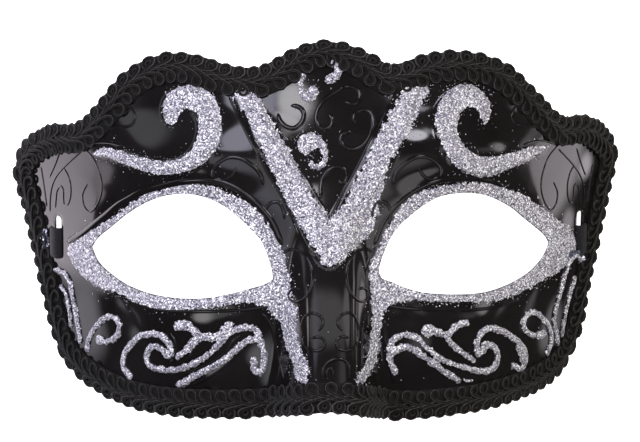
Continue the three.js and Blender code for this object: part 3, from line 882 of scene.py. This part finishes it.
strokes = [  # width and line of each thin stroke
    (2.2, [(1.9, 45.9), (3.2, 44.6), (3.2, 43.2), (2.6, 42.2)]),
    (2.3, [(2.6, 42.2), (0.9, 41.5)]),
    (1.3, [(0.4, 40.9), (1.7, 40.8)]),
    (1.4, [(-75.8, -10.8), (-73.1, -11.7), (-71.4, -14), (-70.6, -17.4), (-69.7, -22.3), (-68.9, -27.2),
        (-68.3, -31.5)]),
    (1.2, [(-73.8, -15.8), (-72.3, -17.8), (-71.8, -20.7), (-71.2, -23.5), (-71, -26.9)]),
    (1.5, [(-66.4, -33.6), (-65.4, -29.7), (-63.4, -26.7), (-60.2, -24), (-57.9, -24.6), (-57, -27.1),
        (-58.2, -29.9), (-61.1, -31.3)]),
    (2.6, [(-62.8, -30.7), (-62.2, -31)]),
    (1.6, [(-54.2, -41), (-56, -37.9), (-55.7, -34.7), (-53.7, -31.5), (-50.6, -29.1), (-46.6, -28.6),
        (-43.6, -30.9), (-42.8, -33.4), (-43.3, -34.9)]),
    (1.6, [(-44.1, -34.5), (-44.9, -33.1), (-46.8, -32.1), (-48.8, -32.9), (-49.5, -35.6), (-48.4, -37.6),
        (-45.9, -38.4), (-42.4, -38.6), (-38, -37.2), (-33.3, -34.6), (-29.5, -30.9), (-26.9, -28.2),
        (-24.1, -26.7), (-20.9, -26.6), (-19.2, -27.9), (-18.6, -29.9), (-17.7, -32.5), (-17.4, -35.6),
        (-18.4, -39), (-19.9, -38.6), (-20.3, -35.4)]),
    (1.7, [(-40.6, -42.7), (-38.6, -41.6), (-34.9, -39.3), (-30.3, -36.8), (-27.1, -34.4), (-24.1, -31.7),
        (-21.3, -30), (-19.2, -29.6)]),
    (2.1, [(-40.4, -26.2), (-39, -25.8), (-37.2, -26.8), (-35.6, -28.6), (-33.3, -29.2), (-30.9, -29.3),
        (-28.6, -28), (-27.4, -26)]),
    (2.4, [(-28, -27), (-27.2, -26)]),
    (2.2, [(-35.2, -29.2), (-36.8, -31), (-38.2, -32.6)]),
    (1.5, [(-37.8, -32.2), (-40.9, -34.8)]),
    (1.6, [(18.7, -39.2), (17.1, -35.7), (17, -32.7), (17.9, -30.2), (19.8, -29), (22.9, -29.1),
        (25.4, -30.3)]),
    (1.3, [(25.4, -30.3), (27.6, -32.7), (31.2, -35.4), (36.5, -37.8), (42.6, -39.4)]),
    (1.6, [(42.6, -39.5), (46, -39.6), (48.1, -38.3), (48.6, -35.2), (47.2, -32.7), (44.8, -32.4),
        (43.5, -34.2)]),
    (2.3, [(44.3, -32.9), (43.9, -33.6)]),
    (2.5, [(55.7, -33.4), (57, -35.4), (57.3, -37.2)]),
    (1.6, [(42.8, -34.7), (42.2, -33.2), (42.1, -31.2), (42.9, -29.6), (45, -28), (47.8, -27.9),
        (51.9, -29.7), (54.9, -31.7), (57.3, -34.2), (57.9, -37.1), (56.6, -39.6), (54, -38.7)]),
    (1.9, [(18.2, -33.4), (20.7, -32.3), (23.2, -32.6), (26.3, -34.7)]),
    (1.5, [(26.3, -34.7), (29.8, -37.2), (33.1, -39.6), (36.9, -42)]),
    (0.8, [(38.9, -42), (40.9, -42.1)]),
    (1.7, [(28.5, -27.9), (31.1, -28.4), (33.7, -28.9), (34.7, -27.8), (36.3, -26.5), (38.9, -25.9)]),
    (3.3, [(27.6, -27.8), (28.2, -27.8)]),
    (1.3, [(32.8, -29.4), (34, -31), (36.4, -33.2), (41.2, -36.4)]),
    (1.5, [(65.4, -35.7), (66.6, -32.7), (66, -28.9), (63.5, -25.6), (60.3, -23.6), (57.7, -24.5),
        (56.8, -27), (58.5, -29.6), (61.2, -30.3), (64, -30)]),
    (1.3, [(76.2, -9.4), (74.7, -7.6), (72.2, -9.6), (70.9, -12.7), (69.7, -17), (68.2, -21.5),
        (67.3, -26.1), (68.6, -30.2), (69.1, -33)]),
    (1.3, [(74.3, -14.4), (72.7, -19.1), (71.5, -23.7), (70.4, -30.6)]),
    (2.7, [(-40.9, -26.4), (-39.4, -26.2)]),
    (2.2, [(61.8, -30.5), (63.6, -30.1)]),
]


def patchOutline(runs):
    if len(runs) == 1:
        return smoothLine(runs[0], crust["ringPoints"], True)
    return np.vstack([smoothLine(run, crust["runPoints"]) for run in runs])


def glitterDepth(grid, reach):
    # how far inside the glitter each corner lies: within an outline, or within half a stroke's width
    # strokes and the small forehead forms are domed like a bead, and only the outlines count for loose flakes
    far = crust["far"]
    depth, bead, ragged = np.full(grid.x.shape, -far), np.zeros(grid.x.shape), np.zeros(grid.x.shape)
    for name, runs in patches.items():
        own = np.clip(grid.depth(patchOutline(runs), reach), -far, far)
        ragged = np.where(own > depth, crust["ragged"].get(name, crust["raggedElse"]), ragged)
        depth = np.maximum(depth, own)
        if name.startswith("forehead"):
            bead = np.maximum(bead, crust["bead"] * np.sqrt(np.clip(own / crust["beadSlope"], 0, 1)))
    loose = depth
    for width, points in strokes:
        line = linePoints(points, crust["lineStep"])
        away, _ = grid.nearest(line, (width / 2 + reach) / grid.step, closed=False)
        own = width / 2 + crust["fuller"] - away * grid.step
        ragged = np.where(own > depth, crust["raggedElse"], ragged)
        depth = np.maximum(depth, own)
        bead = np.maximum(bead, crust["bead"] * np.sqrt(np.clip(own / (width / 2), 0, 1)))
    return depth, bead, loose, ragged


def softNoise(shape, cell, rng):
    # random values on a coarse lattice, blended smoothly between its points
    coarse = rng.random((shape[0] // cell + 3, shape[1] // cell + 3))
    r, c = np.arange(shape[0]) / cell, np.arange(shape[1]) / cell
    i, j = r.astype(int), c.astype(int)
    v, u = softStep(0, 1, r - i)[:, None], softStep(0, 1, c - j)[None, :]
    a, b = coarse[i][:, j], coarse[i][:, j + 1]
    d, e = coarse[i + 1][:, j], coarse[i + 1][:, j + 1]
    return (a * (1 - u) + b * u) * (1 - v) + (d * (1 - u) + e * u) * v


def flakes(places, sizes, rng):
    # a small lopsided pyramid at each place
    n = len(places)
    turn = rng.random(n)[:, None] * 2 * np.pi + np.arange(3)[None, :] * 2 * np.pi / 3
    ring = np.stack([np.cos(turn), np.sin(turn), rng.random((n, 3)) * 0.8 - 0.5], -1)
    tip = np.stack([rng.random(n) - 0.5, rng.random(n) - 0.5, np.full(n, 0.8)], -1)[:, None, :]
    points = (places[:, None, :] + np.concatenate([ring, tip], 1) * sizes[:, None, None]).reshape(-1, 3)
    base = np.arange(n)[:, None] * 4
    faces = np.vstack([base + np.array(f) for f in ((2, 1, 0), (0, 1, 3), (1, 2, 3), (2, 0, 3))])
    return points, [faces]


def makeGlitter():
    # a crust of facets over the patches and strokes, with strays thinning out around them
    rng = np.random.default_rng(crust["seed"])
    grid = FaceGrid(crust["step"])
    edge, openings = outlines()
    depth, bead, loose, ragged = glitterDepth(grid, crust["stray"])
    free = grid.inside(edge)
    for hole in openings:
        free &= ~grid.inside(hole)
    noise = softNoise(grid.x.shape, crust["noiseCell"], rng)
    noise = noise + crust["fineNoise"] * rng.random(grid.x.shape) - crust["noiseDown"]
    keep = free & (depth + ragged * 2 * noise > 0)
    raised = raisedLift(grid)
    high = (raised + bead).ravel()
    shift = (rng.random((*grid.x.shape, 2)) - 0.5) * crust["shift"]
    x, y = (v.ravel() for v in grid.plan(grid.corners + shift))
    layer = crust["thin"] + (crust["thick"] - crust["thin"]) * rng.random(len(x))
    thin = crust["edgeThin"]
    layer = layer * (thin + (1 - thin) * softStep(0, crust["edgeFade"], depth.ravel()))
    quads, triangles = gridFaces(keep, grid.rows, grid.cols)
    flip = rng.random(len(quads))[:, None] < 0.5
    ways = (([0, 1, 2], [1, 2, 3]), ([0, 2, 3], [1, 3, 0]))
    cut = [np.where(flip, quads[:, p], quads[:, q]) for p, q in ways]
    top, under = onFace(x, y, high + layer), onFace(x, y, high - crust["sunk"])
    crustPart = closedSheet(top, under, [np.vstack([*cut, triangles])])
    offTable = faceHeight(x, y).reshape(grid.x.shape) > crust["speckLow"]
    near = np.exp(np.clip(loose, -crust["far"], 0) / crust["strayFade"])
    chance = free * ~keep * offTable * (near + crust["strayAll"])
    pick = rng.choice(chance.size, crust["specks"], replace=False, p=chance.ravel() / chance.sum())
    places = onFace(x[pick], y[pick], raised.ravel()[pick] + crust["speckLift"])
    specks = flakes(places, crust["speckLeast"] + crust["speckMore"] * rng.random(len(pick)) ** 2, rng)
    points, faces = joined([crustPart, specks])
    addPiece("glitterCrust", points, faces, glitter, smooth=False)


makeGlitter()


# glue
glue = {
    "seed": 9, "lift": 0.5, "lineStep": 0.22, "arcs": 7, "endSteps": 6, "endLeast": 0.3,
    "leastSize": 0.55, "moreSize": 0.7,
    # width, height and plan line of each run of glue left beside the band and the braid
    "runs": [
        (0.9, 0.5, [(-78.2, 0.8), (-78.5, -1.2), (-78.1, -3.2), (-78.5, -5.1), (-78.2, -7.4)]),
        (0.7, 0.4, [(-77.2, 1.4), (-77.6, -0.8), (-77.1, -2.8), (-77.5, -4.9)]),
        (0.6, 0.4, [(-79.4, 0.2), (-79.2, -2.5), (-79.5, -4.4)]),
        (1.3, 0.8, [(71.6, -8.4), (72.4, -7.2), (73.8, -6.7), (75.2, -7.1), (76.2, -8.2), (76.5, -9.6)]),
    ],
}


def makeGlue():
    # thin uneven ribs of dried glue on the wings
    rng = np.random.default_rng(glue["seed"])
    parts = []
    for width, height, points in glue["runs"]:
        plan = linePoints(points, glue["lineStep"])
        steps = np.arange(len(plan))
        end = np.clip(glue["endLeast"] + np.minimum(steps, steps[::-1]) / glue["endSteps"], 0, 1)
        grow = (glue["leastSize"] + glue["moreSize"] * rng.random(len(plan))) * end
        parts.append(sweep(*bar(plan, width, height, glue["arcs"], glue["lift"]), scale=grow))
    points, faces = joined(parts)
    addPiece("glueSmear", points, faces, paleGlue, smooth=False)


makeGlue()


# looped braid
braid = {
    "pitch": 4.1, "seed": 5, "samples": 18, "ribbonRings": 700, "joinLift": 0.7, "joinReach": 9,
    "table": 0.34, "sizeVaries": 0.07, "runVaries": 0.2, "varies": 0.08, "widthVaries": 0.4,
    "headRound": 0.3, "ribbonLift": 0.05, "ribbonLeast": 0.02,
    # where the loops crowd: plan place, how much run is taken up, how far it reaches
    "crowds": [((9.5, -46.8), 4.0, 8.0), ((-77, 27.5), 4.6, 9.0), ((80, 28.5), 3.4, 8.0)],
    # run along the braid, across, lift; down the tail, round the head and back under
    "loop": [(-6.4, -0.6, 1.15), (-4.8, -0.25, 1.6), (-3.1, 0.25, 1.8), (-1.5, 0.7, 1.75), (0, 1.2, 1.6),
        (1.1, 1.95, 1.3), (1.35, 2.9, 1.0), (0.85, 3.75, 0.85), (0, 4.0, 0.8), (-0.85, 3.5, 0.8),
        (-1.1, 2.6, 0.8), (-0.85, 1.75, 0.75), (-1.0, 0.85, 0.75), (-1.7, 0.05, 0.9)],
    "profile": [(-0.4, 0.0), (-0.3, 0.25), (0, 0.1), (0.3, 0.25), (0.4, 0.0), (0.24, -0.27), (-0.24, -0.27)],
    # the outer heads are fuller and shorter, and close up at the edge
    "outerFull": 1.45, "outerShort": 0.9, "headAt": (0.24, 0.86), "innerLift": 0.12,
    "ribbon": [(4.1, 0.1), (4.1, 0.45), (1.5, 0.8), (-1.5, 0.8), (-4.0, 0.4), (-4.0, 0.1)],
}


def offFrom(run, place):
    # signed run along the trim from its nearest point to a place of the plan
    at = np.argmin(np.linalg.norm(trackPlan - np.array(place), axis=1)) / len(trackPlan) * trackLength
    return np.mod(run - at + trackLength / 2, trackLength) - trackLength / 2


def cordRow(side, phase, rng):
    # one continuous cord: the loop's points repeated all round, drawn together where the loops crowd
    count = int(round(trackLength / braid["pitch"]))
    loop = np.array(braid["loop"])
    start = (np.arange(count) + phase) * trackLength / count
    size = 1 + braid["sizeVaries"] * rng.standard_normal(count)[:, None]
    run = start[:, None] + loop[None, :, 0] * size + braid["runVaries"] * rng.standard_normal(count)[:, None]
    reach = braid["outerShort"] if side > 0 else 1.0
    across = side * reach * loop[None, :, 1] * (1 + braid["widthVaries"] * (size - 1))
    across = across + braid["varies"] * rng.standard_normal(count)[:, None]
    lift = loop[None, :, 2] + braid["varies"] * rng.standard_normal(count)[:, None]
    lift = lift + (braid["innerLift"] if side < 0 else 0)
    knots = np.column_stack([run.ravel(), across.ravel(), lift.ravel()])
    # the run wraps round, so the smooth line is made on its offset from a steady advance
    steady = np.arange(len(knots)) * trackLength / len(knots)
    knots[:, 0] -= steady
    line = smoothLine(knots, count * braid["samples"], True)
    free = line[:, 0] + np.arange(len(line)) * trackLength / len(line)
    runs = free
    for place, squeeze, reach in braid["crowds"]:
        off = offFrom(free, place)
        runs = runs - squeeze * np.tanh(off / reach) + 2 * squeeze * off / trackLength
    joinOff = offFrom(runs, braid["crowds"][0][0])
    lifts = line[:, 2] + braid["joinLift"] * np.exp(-((joinOff / braid["joinReach"]) ** 2))
    first, last = braid["headAt"]
    along = np.clip((np.arange(len(line)) / braid["samples"] % 1 - first) / (last - first), 0, 1)
    head = softStep(0, braid["headRound"], along) * softStep(0, braid["headRound"], 1 - along)
    full = 1 + (braid["outerFull"] if side > 0 else 0) * head
    return besideTrim(runs, line[:, 1], lifts, braid["table"] * full), full


def sweepCord(centres, profile, full):
    # the cord's own profile, kept level with the face it lies on
    tangent = unit(np.roll(centres, -1, axis=0) - np.roll(centres, 1, axis=0))
    up = faceNormal(centres[:, 0], centres[:, 1])
    side = unit(np.cross(up, tangent))
    points, faces = sweep(centres, side, unit(np.cross(tangent, side)), profile, closed=True, scale=full)
    size = len(profile)
    across = np.tile(np.arange(size) / (size - 1), len(centres))
    uv = np.column_stack([np.repeat(runOf(centres), size), across])
    return points, faces, uv


def makeBraid():
    # two rows of loops on a ribbon
    rng = np.random.default_rng(braid["seed"])
    parts, maps = [], []
    for side, phase in ((1, 0.0), (-1, 0.5)):
        centres, full = cordRow(side, phase, rng)
        points, faces, uv = sweepCord(centres, np.array(braid["profile"]) * (side, 1), full)
        parts.append((points, faces))
        maps.append(uv)
    count, size = braid["ribbonRings"], len(braid["ribbon"])
    run = np.linspace(0, trackLength, count, endpoint=False)
    rings = np.stack([
        besideTrim(run, np.full(count, across), np.full(count, lift),
                   max(braid["ribbonLeast"], braid["ribbonLift"] + lift))
        for across, lift in braid["ribbon"]
    ], 1)
    parts.append((rings.reshape(-1, 3), [ringWalls(count, size, True)]))
    maps.append(np.column_stack([np.repeat(run, size), np.zeros(count * size)]))
    points, faces = joined(parts)
    addPiece("braidTrim", points, faces, braidCord, ["braid_trim"], uv=np.vstack(maps))


makeBraid()


# floor and lights
light = {
    "tableHalf": 9000, "floorGlow": 1.1, "world": (0.032, 0.029, 0.027), "cardStep": 0.02,
    # boxes light the surfaces: place and aim in millimetres, width, height, power, colour
    "boxes": {
        "leftBox": ((-560, 260, 700), (0, 0, 30), 320, 420, 8.0, (0.92, 0.91, 1.16)),
        "rightBox": ((600, 260, 700), (0, 0, 30), 320, 420, 6.8, (1.04, 1.0, 0.94)),
        "topBox": ((-60, -60, 950), (0, 0, 30), 500, 500, 6.0, (1.0, 0.98, 1.0)),
    },
    # cards show only in the gloss: middle, half sizes, turn in degrees, full part, strength, colour
    "cards": {
        "browLeft": ((-79, 106, 200), (43, 62), 0, 0.78, 4.9, (0.95, 0.94, 1.14)),
        "browLeftInner": ((-84, 60, 200), (52, 17), 0, 0.5, 4.8, (0.95, 0.94, 1.14)),
        "browLeftLow": ((-96, -8, 200), (64, 40), 0, 0.3, 1.5, (0.95, 0.94, 1.12)),
        "browRight": ((375, 450, 700), (165, 100), 42, 0.65, 11.5, (0.99, 0.97, 1.06)),
        "browRightTail": ((520, 570, 700), (85, 75), 0, 0.3, 4.5, (0.99, 0.97, 1.06)),
        "middleTop": ((-60, 318, 700), (88, 88), 0, 0.5, 9.5, (1.0, 0.98, 1.02)),
        "noseBroad": ((-65, -3, 200), (230, 25), 0, 0.6, 1.1, (1.0, 0.98, 1.0)),
        "noseEdge": ((52, -16, 100), (34, 15), 0, 0.6, 1.7, (1.0, 0.97, 0.98)),
        "noseRight": ((1500, 95, 200), (900, 115), 0, 0.5, 3.2, (1.0, 0.97, 0.97)),
        "rightBroad": ((330, -60, 700), (280, 175), 0, 0.2, 0.7, (1.0, 0.97, 0.97)),
        "rightLow": ((560, -390, 700), (220, 180), 0, 0.2, 1.2, (1.0, 0.97, 0.97)),
        "cheekShine": ((-114, -14, 100), (34, 18), -15, 0.3, 4.4, (1.0, 0.98, 0.97)),
        "cheekStreak": ((-255, -284, 200), (165, 12), 42, 0.4, 3.0, (0.97, 0.97, 1.04)),
        "foreLeft": ((-1280, 540, 250), (940, 400), -21, 0.75, 1.0, (0.97, 0.97, 1.03)),
        "lowLeft": ((-225, -480, 700), (240, 100), 70, 0.3, 2.1, (0.97, 0.97, 1.04)),
        "farRight": ((2600, 130, 700), (1300, 170), 0, 0.3, 0.55, (1.0, 0.97, 0.97)),
        "wingLeft": ((-165, 9, 1), (130, 51), 8, 0.8, 3.2, (1.05, 0.96, 1.05)),
        "wingLeftFar": ((-440, -47, 1), (330, 30), 11, 0.3, 2.1, (1.04, 0.96, 1.05)),
        "cheekLeft": ((-100, -32, 1), (38, 20), 0, 0.2, 1.6, (1.0, 0.97, 1.08)),
        "cheekLeftFar": ((-290, -74, 1), (115, 14), 7, 0.3, 1.3, (0.98, 0.98, 1.08)),
        "wingRight": ((202, 9, 1), (108, 33), -2, 0.8, 2.5, (1.03, 0.97, 1.02)),
        "wingRightSpot": ((100, 15, 1), (9, 6), 0, 0.3, 3.2, (1.03, 0.97, 1.02)),
        "wingRightLow": ((101, -3, 1), (10, 6), 0, 0.3, 2.2, (1.03, 0.97, 1.02)),
        "wingRightFar": ((640, 12, 1), (500, 102), -3, 0.3, 1.25, (1.02, 0.97, 1.0)),
        "cheekRight": ((88, -33, 1), (10, 11), 0, 0.4, 1.0, (1.0, 0.97, 0.99)),
        "cheekRightFar": ((130, -35, 1), (14, 9), 0, 0.3, 0.7, (1.0, 0.97, 0.99)),
    },
}


def makeFloor():
    # a white table that gives a little light of its own, so its shade stays pale
    r = Recipe("whiteTable")
    mottle = r.ramp(r.noise(4, 2), [(0.3, 0.86), (0.7, 0.9)])
    r.made({"Base Color": mottle}, Roughness=0.8, Emission_Color=(1, 1, 1, 1),
           Emission_Strength=light["floorGlow"])
    points = np.column_stack([squareCorners * light["tableHalf"], np.zeros(4)])
    table = addSquare("table", points, r.material)
    table.visible_glossy = False


def makeCard(name, middle, half, turn, full, strength, colour):
    # a level card that is solid within the full part of its oval and fades to clear at its rim
    angle = math.radians(turn)
    c, s = math.cos(angle), math.sin(angle)
    r = Recipe(name)
    away = r.add("VectorMath", "Value", {0: r.add("UVMap", "UV")}, operation="LENGTH")
    fade = r.add("MapRange", "Result", {
        "Value": away, "From Min": full, "From Max": 1.0, "To Min": 1.0, "To Max": 0.0,
    }, interpolation_type="SMOOTHSTEP")
    r.made({"Alpha": fade}, Base_Color=(0, 0, 0, 1), Roughness=1.0, Specular_IOR_Level=0,
           Emission_Color=(*colour, 1), Emission_Strength=strength)
    plan = squareCorners * np.array(half) @ np.array([(c, s), (-s, c)])
    points = np.column_stack([plan, np.zeros(4)]) + np.array(middle)
    card = addSquare(name, points, r.material)
    for ray in ("camera", "diffuse", "transmission", "volume_scatter", "shadow"):
        setattr(card, "visible_" + ray, False)


def makeLights():
    # soft boxes aimed at the mask, cards for the gloss, in a dim room
    for name, (place, aim, wide, high, power, colour) in light["boxes"].items():
        data = bpy.data.lights.new(name, "AREA")
        data.shape = "RECTANGLE"
        data.size, data.size_y = wide * mm, high * mm
        data.energy, data.color = power, colour
        lamp = bpy.data.objects.new(name, data)
        lamp.visible_glossy = False
        turn = (Vector(aim) - Vector(place)).to_track_quat("-Z", "Y")
        lamp.matrix_world = Matrix.Translation(Vector(place) * mm) @ turn.to_matrix().to_4x4()
        scene.collection.objects.link(lamp)
    # each card has a level of its own, so none lies in another
    for step, (name, (middle, *others)) in enumerate(light["cards"].items()):
        makeCard(name + "Card", (*middle[:2], middle[2] + light["cardStep"] * step), *others)
    world = bpy.data.worlds.new("room")
    scene.world = world
    world.use_nodes = True
    world.node_tree.nodes["Background"].inputs["Color"].default_value = (*light["world"], 1)


makeFloor()
makeLights()
print("floor and lights made")
